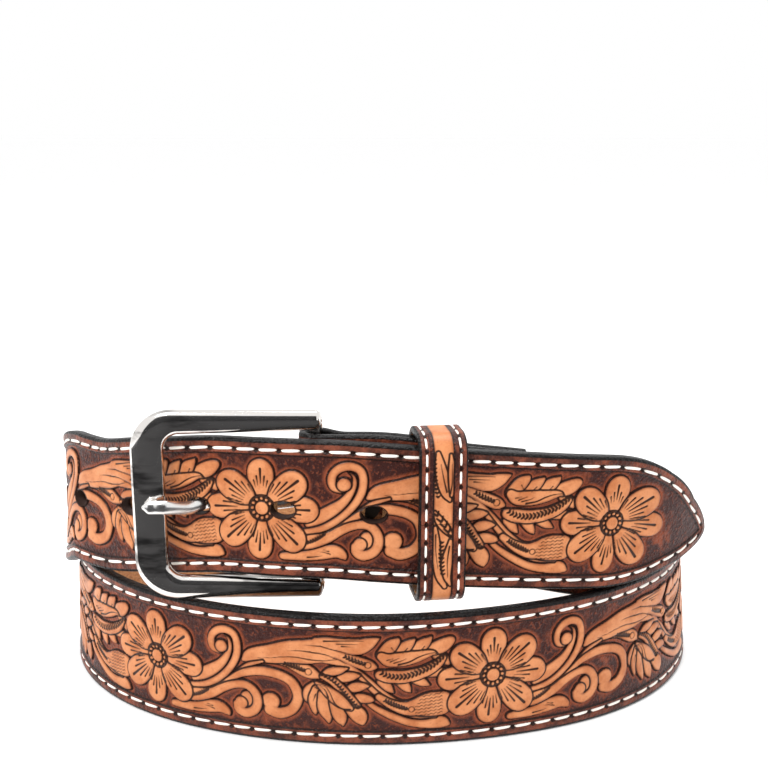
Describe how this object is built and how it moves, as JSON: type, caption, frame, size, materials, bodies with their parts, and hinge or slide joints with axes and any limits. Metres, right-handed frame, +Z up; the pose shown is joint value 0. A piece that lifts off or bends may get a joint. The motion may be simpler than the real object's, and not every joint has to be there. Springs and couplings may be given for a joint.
{
  "type": "western tooled belt",
  "caption": "Buckled leather belt coiled on its edge, with floral tooling, stitched edges, a metal bar buckle and a loose leather keeper.",
  "frame": {"origin": "on the floor under the middle of the belt's box, as it lies coiled on its edge", "axes": "+Z up across the strap's width, -Y towards the viewer of the buckle, +X along the strap from the buckle to the free end's tip"},
  "size_m": [0.2099, 0.1463, 0.096],
  "materials": {
    "strap": "tooled, dyed and waxed on the outer face, natural on the inner face, edges painted black",
    "buckle_frame": "polished nickel plate",
    "buckle_prong": "polished nickel plate",
    "keeper": "tooled, dyed and waxed, edges painted black",
    "fold_post": "nickel plate"
  },
  "bodies": {
    "root": {"strap": "strap", "buckle_frame": "buckle_frame", "buckle_prong": "buckle_prong", "keeper": "keeper", "fold_post_1": "fold_post", "fold_post_2": "fold_post"}
  },
  "joints": []
}
